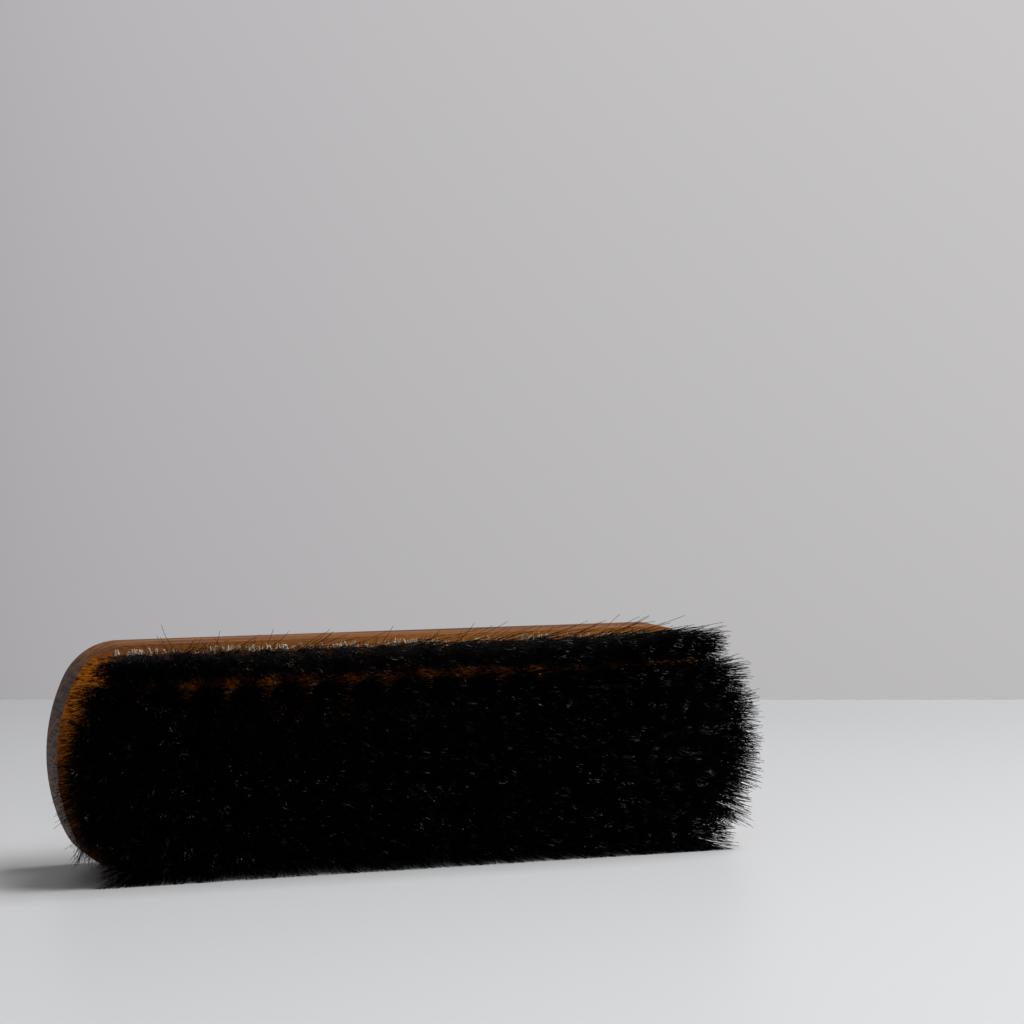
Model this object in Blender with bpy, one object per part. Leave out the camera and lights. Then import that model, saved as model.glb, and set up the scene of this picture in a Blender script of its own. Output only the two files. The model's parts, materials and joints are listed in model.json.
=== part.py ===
"""Horsehair bristle brush, lying on one long side.

The brush is a beech block filled with tufts of horsehair, each seated in a blind hole in the
front face. The tufts stand in six staggered rows, and the outer ones lean outwards. A strand
stands for a lock of many hairs.

The pieces are laid out in the frame of the block: x along its length, y across its width, and z
out of the front face, from which the bristles grow. One empty then lays the whole brush on its
side, with the bristles towards -Y and the floor at Z = 0. All sizes are in metres.
"""

import math
import random

import bmesh
import bpy
import numpy as np
from mathutils import Matrix, Vector

# Sizes of the block
BLOCK_LENGTH = 0.180
BLOCK_WIDTH = 0.057
BLOCK_THICKNESS = 0.014
BACK_CHAMFER = 0.00135
CORNER_RADIUS = 0.0156
END_BULGE = 0.0100
END_ARC_STEPS = 12
CORNER_ARC_STEPS = 7

# Sizes of the filling
ROW_COUNT = 6
TUFT_PITCH = 0.0104
SIDE_MARGIN = 0.0050
END_MARGIN = 0.0066
HOLE_RADIUS = 0.00225
HOLE_DEPTH = 0.0090
HOLE_SIDES = 8
HOLE_LEAN_SHARE = 0.5

# The front of the block is sliced between the rows, and each slice carries its own tufts
SLICE_DEPTH = 0.0015
SEAT_SHARE = 0.33

# Sizes of the hair
BRISTLE_LENGTH = 0.025
STRANDS_PER_TUFT = 4
STRAND_SIDES = 3
STRAND_ROOT_RADIUS = 0.00080
STRAND_KNEE_RADIUS = 0.00088
STRAND_TIP_RADIUS = 0.00060
STRAND_CLEARANCE = 0.0003
STRAND_TIP_RING = 0.00280
STRAND_STRAY = 0.00045
STRAND_TURN = math.radians(24.0)
KNEE_SHARE = 0.48
KNEE_FLARE_SHARE = 0.36
KNEE_RING_SHARE = 0.40
HAIR_SEED = 7
GAP_LEVELS = 10

# How far the outer tufts lean out: the tips fill a field inside the block's outline
SIDE_FLARE = 0.0032
TIP_MARGIN = 0.0034
TIP_HEIGHT_SHARE = 0.8
FLARE_POWER = 3

# The root of a tuft fills its hole
ROOT_SIDES = 6

# The gap that neighbouring pieces keep, and how far a cutter reaches past a face
SEAT_GAP = 0.0003
OVERRUN = 0.0007
WELD_DISTANCE = 0.00003
SHARP_ANGLE = math.radians(30.0)
FLAT_ANGLE = math.radians(1.0)

# Sizes that follow from those above
ROW_PITCH = (BLOCK_WIDTH - 2 * SIDE_MARGIN) / (ROW_COUNT - 1)
END_RADIUS = ((BLOCK_WIDTH / 2) ** 2 + END_BULGE**2) / (2 * END_BULGE)
END_CENTRE = BLOCK_LENGTH / 2 - END_RADIUS
STRAND_ROOT_RING = (STRAND_ROOT_RADIUS + STRAND_CLEARANCE / 2) / math.sin(math.pi / STRANDS_PER_TUFT)
STRAND_SEAT = SEAT_SHARE * SLICE_DEPTH
BODY_FRONT = -SLICE_DEPTH - SEAT_GAP
ROOT_RADIUS = HOLE_RADIUS * math.cos(math.pi / HOLE_SIDES) - SEAT_GAP
ROOT_HEAD = STRAND_SEAT - SLICE_DEPTH
ROOT_FOOT = SEAT_GAP - HOLE_DEPTH


def link(obj, collection, parent):
    """Put an object in its collection and under its parent."""
    collection.objects.link(obj)
    obj.parent = parent
    return obj


def material(name, colour, roughness, metallic):
    """Return a plain Principled material."""
    mat = bpy.data.materials.new(name)
    mat.use_nodes = True
    shader = mat.node_tree.nodes["Principled BSDF"]
    shader.inputs["Base Color"].default_value = (*colour, 1.0)
    shader.inputs["Roughness"].default_value = roughness
    shader.inputs["Metallic"].default_value = metallic
    mat.diffuse_color = (*colour, 1.0)
    return mat


def corner_centre():
    """Centre of the corner arc, which runs smoothly into the long side and the end arc."""
    across = BLOCK_WIDTH / 2 - CORNER_RADIUS
    along = math.sqrt((END_RADIUS - CORNER_RADIUS) ** 2 - across**2)
    return Vector((END_CENTRE + along, across))


def outline_points():
    """Points of the block's outline: two long sides, and at each end three arcs in a row."""
    corner = corner_centre()
    end = Vector((END_CENTRE, 0.0))
    meet = math.atan2(corner.y, corner.x - end.x)
    quarter = []
    for step in range(CORNER_ARC_STEPS + 1):
        angle = math.pi / 2 + (meet - math.pi / 2) * step / CORNER_ARC_STEPS
        quarter.append(corner + CORNER_RADIUS * Vector((math.cos(angle), math.sin(angle))))
    half_steps = END_ARC_STEPS // 2
    for step in range(1, half_steps + 1):
        angle = meet * (1 - step / half_steps)
        quarter.append(end + END_RADIUS * Vector((math.cos(angle), math.sin(angle))))
    right = quarter + [Vector((point.x, -point.y)) for point in reversed(quarter[:-1])]
    left = [-point for point in right]
    return right + left


def half_length_at(y, margin):
    """Half the length that lies a margin inside the outline, at height y above its middle."""
    corner = corner_centre()
    y = abs(y)
    end_radius = END_RADIUS - margin
    if y <= corner.y * end_radius / (END_RADIUS - CORNER_RADIUS):
        return END_CENTRE + math.sqrt(end_radius**2 - y**2)
    past_corner = (CORNER_RADIUS - margin) ** 2 - (y - corner.y) ** 2
    return corner.x + math.sqrt(max(past_corner, 0.0))


def filled_outline(name, thickness, collection):
    """The mesh of a filled curve of the block's outline, with its caps welded on."""
    curve = bpy.data.curves.new(name, "CURVE")
    curve.dimensions = "2D"
    curve.fill_mode = "BOTH"
    curve.extrude = thickness / 2
    points = outline_points()
    spline = curve.splines.new("POLY")
    spline.points.add(len(points) - 1)
    for point, place in zip(spline.points, points):
        point.co = (place.x, place.y, 0.0, 1.0)
    spline.use_cyclic_u = True
    drawn = link(bpy.data.objects.new(name, curve), collection, None)
    graph = bpy.context.evaluated_depsgraph_get()
    mesh = bpy.data.meshes.new_from_object(drawn.evaluated_get(graph))
    bpy.data.objects.remove(drawn)
    mesh.name = name
    return mesh


def plate(name, front, back, collection, parent):
    """A flat plate of the block's outline, between two heights."""
    mesh = filled_outline(name, front - back, collection)
    bm = bmesh.new()
    bm.from_mesh(mesh)
    bmesh.ops.remove_doubles(bm, verts=bm.verts, dist=WELD_DISTANCE)
    bmesh.ops.dissolve_limit(bm, angle_limit=FLAT_ANGLE, verts=bm.verts, edges=bm.edges)
    bmesh.ops.recalc_face_normals(bm, faces=bm.faces)
    bm.to_mesh(mesh)
    bm.free()
    piece = link(bpy.data.objects.new(name, mesh), collection, parent)
    piece.location.z = (front + back) / 2
    return piece


def finish_mesh(bm, name, collection, parent):
    """Turn a bmesh into an object whose faces all point outwards."""
    bmesh.ops.recalc_face_normals(bm, faces=bm.faces)
    mesh = bpy.data.meshes.new(name)
    bm.to_mesh(mesh)
    bm.free()
    return link(bpy.data.objects.new(name, mesh), collection, parent)


def combine(piece, operation, helper, name):
    """Cut or join a piece with a helper, which shows as wires and isn't a piece itself."""
    helper.hide_render = True
    helper.display_type = "WIRE"
    modifier = piece.modifiers.new(name, "BOOLEAN")
    modifier.operation = operation
    modifier.solver = "EXACT"
    modifier.object = helper


def add_stack(bm, places, radii, sides, turn):
    """A closed prism through level rings, each extruded from the one before."""
    placed = Matrix.Translation(places[0]) @ Matrix.Rotation(turn, 4, "Z")
    ring = bmesh.ops.create_circle(
        bm, cap_ends=True, segments=sides, radius=radii[0], matrix=placed
    )
    face = ring["verts"][0].link_faces[0]
    for index in range(1, len(places)):
        grown = bmesh.ops.extrude_face_region(bm, geom=[face])["geom"]
        if index > 1:
            bmesh.ops.delete(bm, geom=[face], context="FACES_ONLY")
        face = next(item for item in grown if isinstance(item, bmesh.types.BMFace))
        widen = radii[index] / radii[index - 1]
        for vertex in face.verts:
            vertex.co = places[index] + (vertex.co - places[index - 1]) * widen


def row_heights():
    """Height of each row above the middle of the face, the upper row first."""
    return [(ROW_COUNT - 1 - 2 * index) / 2 * ROW_PITCH for index in range(ROW_COUNT)]


def row_places(index, y):
    """Tuft places along one row; every second row is shifted by half a pitch."""
    reach = half_length_at(y, END_MARGIN)
    if index % 2 == 0:
        half = int(reach / TUFT_PITCH + 1 / 2)
        right = [(step + 1 / 2) * TUFT_PITCH for step in range(half)]
        return [-x for x in reversed(right)] + right
    half = int(reach / TUFT_PITCH)
    return [step * TUFT_PITCH for step in range(-half, half + 1)]


def lay_out_tufts():
    """Every row's tufts, each as its place on the face and how far its tips lean from there."""
    heights = row_heights()
    rows = []
    for index, y in enumerate(heights):
        places = row_places(index, y)
        stretch = half_length_at(y * TIP_HEIGHT_SHARE, TIP_MARGIN) - places[-1]
        rise = SIDE_FLARE * (y / heights[0]) ** FLARE_POWER
        row = []
        for x in places:
            lean = stretch * (x / places[-1]) ** FLARE_POWER
            row.append((Vector((x, y, 0.0)), Vector((lean, rise, 0.0))))
        rows.append(row)
    return rows


def hole_centre(place, flare, z):
    """Centre of a tuft's hole at height z; the hole leans as its tuft does."""
    return place + flare * (HOLE_LEAN_SHARE * z / BRISTLE_LENGTH) + Vector((0.0, 0.0, z))


def above_floor(point, radius):
    """Keep a strand on top of the surface that the brush lies on."""
    point.y = max(point.y, radius - BLOCK_WIDTH / 2)
    return point


def strand_course(place, flare, angle, stray):
    """Root, knee and tip of one strand, whose tip is trimmed level with all the others."""
    outward = Vector((math.cos(angle), math.sin(angle), 0.0))
    knee_ring = STRAND_ROOT_RING + KNEE_RING_SHARE * (STRAND_TIP_RING - STRAND_ROOT_RING)
    root = place + outward * STRAND_ROOT_RING
    knee = place + outward * knee_ring + flare * KNEE_FLARE_SHARE
    tip = place + outward * STRAND_TIP_RING + flare + stray
    root.z = -STRAND_SEAT
    knee.z = KNEE_SHARE * BRISTLE_LENGTH
    tip.z = BRISTLE_LENGTH
    return [root, above_floor(knee, STRAND_KNEE_RADIUS), above_floor(tip, STRAND_TIP_RADIUS)]


def tuft_courses(place, flare, chance):
    """The strands of one tuft, spread evenly round its hole."""
    courses = []
    start = math.pi / STRANDS_PER_TUFT + chance.uniform(-STRAND_TURN, STRAND_TURN)
    for index in range(STRANDS_PER_TUFT):
        angle = start + 2 * math.pi * index / STRANDS_PER_TUFT
        wander = [chance.uniform(-STRAND_STRAY, STRAND_STRAY) for _ in range(2)]
        courses.append(strand_course(place, flare, angle, Vector((*wander, 0.0))))
    return courses


def chamfer_back(mesh):
    """Cut a flat chamfer round the back face."""
    bm = bmesh.new()
    bm.from_mesh(mesh)
    back = min(vertex.co.z for vertex in bm.verts)
    rim = [edge for edge in bm.edges if all(v.co.z < back + WELD_DISTANCE for v in edge.verts)]
    bmesh.ops.bevel(bm, geom=rim, offset=BACK_CHAMFER, segments=1, affect="EDGES")
    bm.to_mesh(mesh)
    bm.free()


def build_block(rows, collection, cutters, parent):
    """The beech body behind the front slices, with a blind hole for each tuft."""
    block = plate("beech_block", BODY_FRONT, -BLOCK_THICKNESS, collection, parent)
    chamfer_back(block.data)
    bm = bmesh.new()
    for place, flare in (tuft for row in rows for tuft in row):
        ends = [hole_centre(place, flare, z) for z in (-HOLE_DEPTH, BODY_FRONT + OVERRUN)]
        add_stack(bm, ends, [HOLE_RADIUS, HOLE_RADIUS], HOLE_SIDES, math.pi / HOLE_SIDES)
    holes = finish_mesh(bm, "tuft_holes", cutters, parent)
    combine(block, "DIFFERENCE", holes, "Tuft holes")
    return block


def row_band(name, y, cutters, parent):
    """A box over one row's share of the face, past the block's edge on the outer rows."""
    half = (ROW_PITCH - SEAT_GAP) / 2
    edge = BLOCK_WIDTH / 2 + OVERRUN
    low = y - half if y > ROW_PITCH - BLOCK_WIDTH / 2 else -edge
    high = y + half if y < BLOCK_WIDTH / 2 - ROW_PITCH else edge
    size = Vector((BLOCK_LENGTH + OVERRUN, high - low, SLICE_DEPTH + OVERRUN))
    centre = Vector((0.0, (low + high) / 2, -SLICE_DEPTH / 2))
    bm = bmesh.new()
    bmesh.ops.create_cube(bm, size=1.0, matrix=Matrix.LocRotScale(centre, None, size))
    return finish_mesh(bm, name + "_band", cutters, parent)


def row_strands(name, courses, chance, cutters, parent):
    """Every strand of a row, as one helper mesh."""
    radii = [STRAND_ROOT_RADIUS, STRAND_KNEE_RADIUS, STRAND_TIP_RADIUS]
    bm = bmesh.new()
    for course in courses:
        add_stack(bm, course, radii, STRAND_SIDES, chance.uniform(0.0, 2 * math.pi))
    return finish_mesh(bm, name + "_strands", cutters, parent)


def row_roots(name, row, cutters, parent):
    """The folded ends of a row's tufts, which fill their holes."""
    bm = bmesh.new()
    for place, flare in row:
        ends = [hole_centre(place, flare, z) for z in (ROOT_FOOT, ROOT_HEAD)]
        add_stack(bm, ends, [ROOT_RADIUS, ROOT_RADIUS], ROOT_SIDES, math.pi / 2)
    return finish_mesh(bm, name + "_roots", cutters, parent)


def build_tuft_row(name, row, chance, collection, cutters, parent):
    """One row of tufts, fused to the slice of the face that they stand in."""
    tufts = plate(name, 0.0, -SLICE_DEPTH, collection, parent)
    courses = [course for tuft in row for course in tuft_courses(*tuft, chance)]
    combine(tufts, "INTERSECT", row_band(name, row[0][0].y, cutters, parent), "Share of the face")
    combine(tufts, "UNION", row_strands(name, courses, chance, cutters, parent), "Strands")
    combine(tufts, "UNION", row_roots(name, row, cutters, parent), "Roots")
    return tufts, courses


def course_point(course, height):
    """Where a strand's middle line passes a height, along and across the brush."""
    root, knee, tip = course
    low, high = (root, knee) if height <= knee.z else (knee, tip)
    point = low.lerp(high, (height - low.z) / (high.z - low.z))
    return [point.x, point.y]


def strand_radius(height):
    """Radius of a strand at a height."""
    heights = [-STRAND_SEAT, KNEE_SHARE * BRISTLE_LENGTH, BRISTLE_LENGTH]
    return np.interp(height, heights, [STRAND_ROOT_RADIUS, STRAND_KNEE_RADIUS, STRAND_TIP_RADIUS])


def least_gap(courses):
    """Least clear distance between two strands, measured at level heights up the brush."""
    least = BLOCK_LENGTH
    for step in range(GAP_LEVELS + 1):
        height = BRISTLE_LENGTH * step / GAP_LEVELS
        centres = np.array([course_point(course, height) for course in courses])
        apart = np.linalg.norm(centres[:, None] - centres[None, :], axis=2)
        np.fill_diagonal(apart, BLOCK_LENGTH)
        least = min(least, apart.min() - 2 * strand_radius(height))
    return least


def dress(piece, mat):
    """Smooth shading with sharp arrises, and the piece's material."""
    piece.data.materials.clear()
    piece.data.materials.append(mat)
    piece.data.shade_smooth()
    piece.data.set_sharp_from_angle(angle=SHARP_ANGLE)


def main():
    """Build the brush."""
    for old in list(bpy.data.objects):
        bpy.data.objects.remove(old)
    collection = bpy.data.collections.new("horsehair_brush")
    cutters = bpy.data.collections.new("helpers")
    for group in (collection, cutters):
        bpy.context.scene.collection.children.link(group)
    brush = link(bpy.data.objects.new("brush_on_its_side", None), collection, None)
    brush.location = (0.0, (BRISTLE_LENGTH - BLOCK_THICKNESS) / 2, BLOCK_WIDTH / 2)
    brush.rotation_euler = (math.pi / 2, 0.0, 0.0)

    wood = material("stained beech", (0.115, 0.045, 0.014), 0.38, 0.0)
    hair = material("black horsehair", (0.008, 0.007, 0.007), 0.45, 0.0)
    rows = lay_out_tufts()
    dress(build_block(rows, collection, cutters, brush), wood)
    chance = random.Random(HAIR_SEED)
    courses = []
    for number, row in enumerate(rows, start=1):
        name = f"tuft_row_{number}"
        tufts, row_courses = build_tuft_row(name, row, chance, collection, cutters, brush)
        dress(tufts, hair)
        courses.extend(row_courses)
    print(f"{sum(len(row) for row in rows)} tufts, {len(courses)} strands")
    print(f"least gap between strands {least_gap(courses) * 1000:.2f} mm")


main()
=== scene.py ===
# %% [markdown]
# This lesson dresses a horsehair brush. The brush is a solid block of stained beech. Tufts of
# black horsehair are set in its front face, and the brush lies on one long side with the hair
# towards the camera. The measured model of the brush comes first, and everything that the lesson
# makes is placed by it.

# %% Load the measured model
import json
import math

import bmesh
import bpy
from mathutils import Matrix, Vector

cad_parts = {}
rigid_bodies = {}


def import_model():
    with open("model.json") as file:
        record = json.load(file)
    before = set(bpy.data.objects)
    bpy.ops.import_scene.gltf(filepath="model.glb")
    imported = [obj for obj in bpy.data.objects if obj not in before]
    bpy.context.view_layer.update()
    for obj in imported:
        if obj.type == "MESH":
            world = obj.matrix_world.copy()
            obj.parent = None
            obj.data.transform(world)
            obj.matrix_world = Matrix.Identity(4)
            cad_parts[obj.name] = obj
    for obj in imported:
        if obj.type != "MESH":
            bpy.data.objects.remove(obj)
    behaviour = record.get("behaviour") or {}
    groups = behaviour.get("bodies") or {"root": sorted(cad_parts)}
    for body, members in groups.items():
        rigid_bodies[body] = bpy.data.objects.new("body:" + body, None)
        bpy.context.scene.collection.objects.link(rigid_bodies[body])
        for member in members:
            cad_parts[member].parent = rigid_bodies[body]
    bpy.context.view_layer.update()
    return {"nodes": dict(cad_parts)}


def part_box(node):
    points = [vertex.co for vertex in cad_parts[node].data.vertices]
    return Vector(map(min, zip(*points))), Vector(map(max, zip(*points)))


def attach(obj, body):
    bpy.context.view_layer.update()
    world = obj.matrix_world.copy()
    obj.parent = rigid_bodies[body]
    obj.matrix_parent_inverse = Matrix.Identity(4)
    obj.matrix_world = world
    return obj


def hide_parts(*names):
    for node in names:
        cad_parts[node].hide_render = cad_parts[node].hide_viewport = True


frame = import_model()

print("nodes:", ", ".join(sorted(frame["nodes"])))

# %% [markdown]
# The block's box gives its length, its width and its back. The front face lies one thickness in
# front of the back. The other sizes are those that the block was made to: how round its corners
# are, how far its ends bulge, and how wide the chamfer round its back is.

# %% Sizes of the block
low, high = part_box("beech_block")
LENGTH = high.x - low.x
WIDTH = high.z - low.z
THICKNESS = 0.014
BACK = high.y
FRONT = BACK - THICKNESS
MIDDLE = (low.z + high.z) / 2
CORNER_RADIUS = 0.0156
END_BULGE = 0.010
CHAMFER = 0.00135
END_RADIUS = ((WIDTH / 2) ** 2 + END_BULGE**2) / (2 * END_BULGE)
END_CENTRE = LENGTH / 2 - END_RADIUS
print(f"block {LENGTH * 1000:.1f} x {WIDTH * 1000:.1f} x {THICKNESS * 1000:.1f} mm")

# %% [markdown]
# Node trees get long when every node takes three lines. Small helpers keep them short: one adds a
# node and feeds its inputs, and the others each do one thing that comes back often, such as a
# sum, a noise or a ramp. An input is fed by a plain value or by another node's output. The same
# helpers serve Geometry Nodes and shaders.

# %% Helpers for node trees
def feed(tree, socket, value):
    """Link another node's output to an input, or set the input to a plain value."""
    if isinstance(value, bpy.types.NodeSocket):
        tree.links.new(value, socket)
    else:
        socket.default_value = value


def put(tree, kind, feeds=None, **settings):
    """Add a node, set it up, and feed its inputs by name or number."""
    node = tree.nodes.new(kind)
    for name, value in settings.items():
        setattr(node, name, value)
    for key, value in (feeds or {}).items():
        feed(tree, node.inputs[key], value)
    return node


def sum_of(tree, operation, *values):
    """The output of a Math node."""
    return put(tree, "ShaderNodeMath", dict(enumerate(values)), operation=operation).outputs[0]


def times(tree, first, second):
    """The product of two values."""
    return sum_of(tree, "MULTIPLY", first, second)


def vector_of(tree, operation, first, second):
    """The output of a Vector Math node that takes two vectors, or a vector and a scale."""
    feeds = {0: first, "Scale" if operation == "SCALE" else 1: second}
    return put(tree, "ShaderNodeVectorMath", feeds, operation=operation).outputs[0]


def length_of(tree, vector):
    """How long a vector is."""
    return put(tree, "ShaderNodeVectorMath", {0: vector}, operation="LENGTH").outputs["Value"]


def parts_of(tree, vector):
    """The X, Y and Z of a vector."""
    return put(tree, "ShaderNodeSeparateXYZ", {0: vector}).outputs


def vector_from(tree, x=0.0, y=0.0, z=0.0):
    """A vector made of its X, Y and Z."""
    return put(tree, "ShaderNodeCombineXYZ", {0: x, 1: y, 2: z}).outputs[0]


def ramp_of(tree, value, span, ends=(0.0, 1.0), bend="LINEAR"):
    """Maps a value from a span onto two end values, and holds it there outside the span."""
    feeds = {"Value": value, "From Min": span[0], "From Max": span[1]}
    feeds.update({"To Min": ends[0], "To Max": ends[1]})
    return put(tree, "ShaderNodeMapRange", feeds, interpolation_type=bend).outputs[0]


def noise(tree, where, per_metre, detail):
    """A noise with so many waves per metre, or with a number of its own along each axis."""
    if isinstance(per_metre, tuple):
        where = vector_of(tree, "MULTIPLY", where, per_metre)
        per_metre = 1.0
    feeds = {"Vector": where, "Scale": per_metre, "Detail": detail}
    return put(tree, "ShaderNodeTexNoise", feeds).outputs


def open_tree(name, kind, inputs, outputs):
    """A new node group with named inputs and outputs, and its two end nodes."""
    tree = bpy.data.node_groups.new(name, kind)
    for title, socket, value in inputs:
        made = tree.interface.new_socket(title, in_out="INPUT", socket_type=socket)
        if value is not None:
            made.default_value = value
    for title, socket in outputs:
        tree.interface.new_socket(title, in_out="OUTPUT", socket_type=socket)
    return tree, tree.nodes.new("NodeGroupInput").outputs, tree.nodes.new("NodeGroupOutput").inputs


print("helpers ready")

# %% [markdown]
# The figure of the wood is a solid one: a tree's rings are long, slightly wavy tubes, and the
# block is sawn out of them. So the pattern is worked out in space, from Object coordinates, and
# each face of the block shows the cut that it would really have: long arches on the back, fine
# straight lines on the narrow sides. The tubes' axis is tilted to the block, which is what turns
# rings into arches. The group gives out a mask for the pale line that ends each ring. A noise
# that is stretched along the block breaks the line up, so that it fades and comes back.

# %% Group: rings of the wood
RING_AXIS_SHIFT = (0.0, 0.026, -0.016)
RING_AXIS_TILT = (0.0, 0.17, 0.22)
RING_WAVES = 26.0
WIDTH_CHANGES = 0.6
WIDTH_CHANGE = 2.0
RING_JAGS = (260.0, 900.0, 900.0)
JAG_SHARE = 0.22
LINE_END_SHARE = 0.09
LINE_FADES = (45.0, 160.0, 160.0)
FADE_SPAN = (0.34, 0.60)
FADE_ENDS = (0.15, 1.0)


def rings_group():
    """The pale ring lines of a plank, as a mask."""
    tree, into, out = open_tree(
        "wood rings",
        "ShaderNodeTree",
        [
            ("Vector", "NodeSocketVector", None),
            ("Ring width", "NodeSocketFloat", 0.0034),
            ("Waviness", "NodeSocketFloat", 0.003),
            ("Line share", "NodeSocketFloat", 0.26),
        ],
        [("Line", "NodeSocketFloat")],
    )
    place = into["Vector"]
    feeds = {"Vector": place, "Location": RING_AXIS_SHIFT, "Rotation": RING_AXIS_TILT}
    tilted = put(tree, "ShaderNodeMapping", feeds).outputs[0]
    slow = noise(tree, place, RING_WAVES, 2.0)["Color"]
    bend = vector_of(tree, "SUBTRACT", slow, (0.5, 0.5, 0.5))
    waved = vector_of(tree, "ADD", tilted, vector_of(tree, "SCALE", bend, into["Waviness"]))
    radius = length_of(tree, vector_of(tree, "MULTIPLY", waved, (0.0, 1.0, 1.0)))
    turns = sum_of(tree, "DIVIDE", radius, into["Ring width"])
    feeds = {"W": turns, "Scale": WIDTH_CHANGES, "Detail": 1.0}
    uneven = put(tree, "ShaderNodeTexNoise", feeds, noise_dimensions="1D").outputs["Fac"]
    turns = sum_of(tree, "MULTIPLY_ADD", uneven, WIDTH_CHANGE, turns)
    jagged = noise(tree, place, RING_JAGS, 2.0)["Fac"]
    turns = sum_of(tree, "MULTIPLY_ADD", jagged, JAG_SHARE, turns)
    phase = sum_of(tree, "FRACT", turns)
    start = sum_of(tree, "SUBTRACT", 1.0, into["Line share"])
    rise = ramp_of(tree, phase, (start, 1.0), bend="SMOOTHSTEP")
    fall = ramp_of(tree, phase, (0.0, LINE_END_SHARE), (1.0, 0.0), "SMOOTHSTEP")
    line = sum_of(tree, "MAXIMUM", rise, fall)
    strength = ramp_of(tree, noise(tree, place, LINE_FADES, 3.0)["Fac"], FADE_SPAN, FADE_ENDS)
    tree.links.new(times(tree, line, strength), out["Line"])
    return tree


RINGS = rings_group()
print("group:", RINGS.name)

# %% [markdown]
# Close up, beech is full of short flecks. They are cells that run along the trunk, so they are a
# millimetre or two long on a face that runs with the grain, and dots on the end of the block. A
# stretched noise makes them, and a coarser one makes the soft mottle of the stain. The group also
# gives a height, because the lacquer dips a little over each fleck.

# %% Group: flecks and pores
MOTTLE_SCALE = (0.65, 0.50, 0.50)
FLECK_TOP = 0.72
FLECK_START = 0.70
FLECK_WIDENING = -0.2


def flecks_group():
    """Short dark flecks along the grain, a softer mottle, and a height for the bump."""
    tree, into, out = open_tree(
        "wood flecks",
        "ShaderNodeTree",
        [
            ("Vector", "NodeSocketVector", None),
            ("Per metre along", "NodeSocketFloat", 900.0),
            ("Per metre across", "NodeSocketFloat", 3600.0),
            ("Amount", "NodeSocketFloat", 0.5),
        ],
        [("Fleck", "NodeSocketFloat"), ("Mottle", "NodeSocketFloat"), ("Height", "NodeSocketFloat")],
    )
    along, across = into["Per metre along"], into["Per metre across"]
    fine = vector_of(tree, "MULTIPLY", into["Vector"], vector_from(tree, along, across, across))
    pores = noise(tree, fine, 1.0, 2.0)["Fac"]
    edge = sum_of(tree, "MULTIPLY_ADD", into["Amount"], FLECK_WIDENING, FLECK_START)
    fleck = ramp_of(tree, pores, (edge, FLECK_TOP), bend="SMOOTHSTEP")
    tree.links.new(fleck, out["Fleck"])
    tree.links.new(noise(tree, fine, MOTTLE_SCALE, 3.0)["Fac"], out["Mottle"])
    tree.links.new(sum_of(tree, "SUBTRACT", 1.0, fleck), out["Height"])
    return tree


FLECKS = flecks_group()
print("group:", FLECKS.name)

# %% [markdown]
# Hands and sandpaper take stain off the arrises, so they are paler than the faces. On this block
# an arris can be found from the way that the surface faces: the flats face along Y and the sides
# face square to Y, and only the chamfer and the broken edges face in between. A little dust
# settles wherever a surface faces up, on the wood and on the hair alike, so dust is a group too.

# %% Groups: worn arrises and dust
ARRIS_GAIN = 4.5
WEAR_PATCHES = 160.0
GRAIN_SPAN = (0.52, 0.68)


def facing_of(tree):
    """The X, Y and Z of the way that the surface faces."""
    return parts_of(tree, put(tree, "ShaderNodeNewGeometry").outputs["Normal"])


def arris_group():
    """A mask for surfaces that face between the flats and the sides, broken up a little."""
    tree, into, out = open_tree(
        "worn arris",
        "ShaderNodeTree",
        [("Vector", "NodeSocketVector", None), ("Patchiness", "NodeSocketFloat", 0.5)],
        [("Worn", "NodeSocketFloat")],
    )
    flat = sum_of(tree, "ABSOLUTE", facing_of(tree)["Y"])
    square = sum_of(tree, "SQRT", sum_of(tree, "SUBTRACT", 1.0, sum_of(tree, "POWER", flat, 2.0)))
    slanted = sum_of(tree, "SUBTRACT", 1.0, sum_of(tree, "MAXIMUM", flat, square))
    mask = sum_of(tree, "MINIMUM", times(tree, slanted, ARRIS_GAIN), 1.0)
    patches = noise(tree, into["Vector"], WEAR_PATCHES, 3.0)["Fac"]
    left = sum_of(tree, "SUBTRACT", 1.0, times(tree, into["Patchiness"], patches))
    tree.links.new(times(tree, mask, left), out["Worn"])
    return tree


def dust_group():
    """A mask for the dust that lies on what faces up."""
    tree, into, out = open_tree(
        "fine dust",
        "ShaderNodeTree",
        [
            ("Vector", "NodeSocketVector", None),
            ("Amount", "NodeSocketFloat", 0.1),
            ("Grains per metre", "NodeSocketFloat", 2500.0),
        ],
        [("Dust", "NodeSocketFloat")],
    )
    grains = noise(tree, into["Vector"], into["Grains per metre"], 1.0)["Fac"]
    spots = ramp_of(tree, grains, GRAIN_SPAN, bend="SMOOTHSTEP")
    lying = sum_of(tree, "MAXIMUM", facing_of(tree)["Z"], 0.0)
    tree.links.new(times(tree, times(tree, lying, spots), into["Amount"]), out["Dust"])
    return tree


ARRIS = arris_group()
DUST = dust_group()
print("groups:", ARRIS.name, "and", DUST.name)
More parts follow.
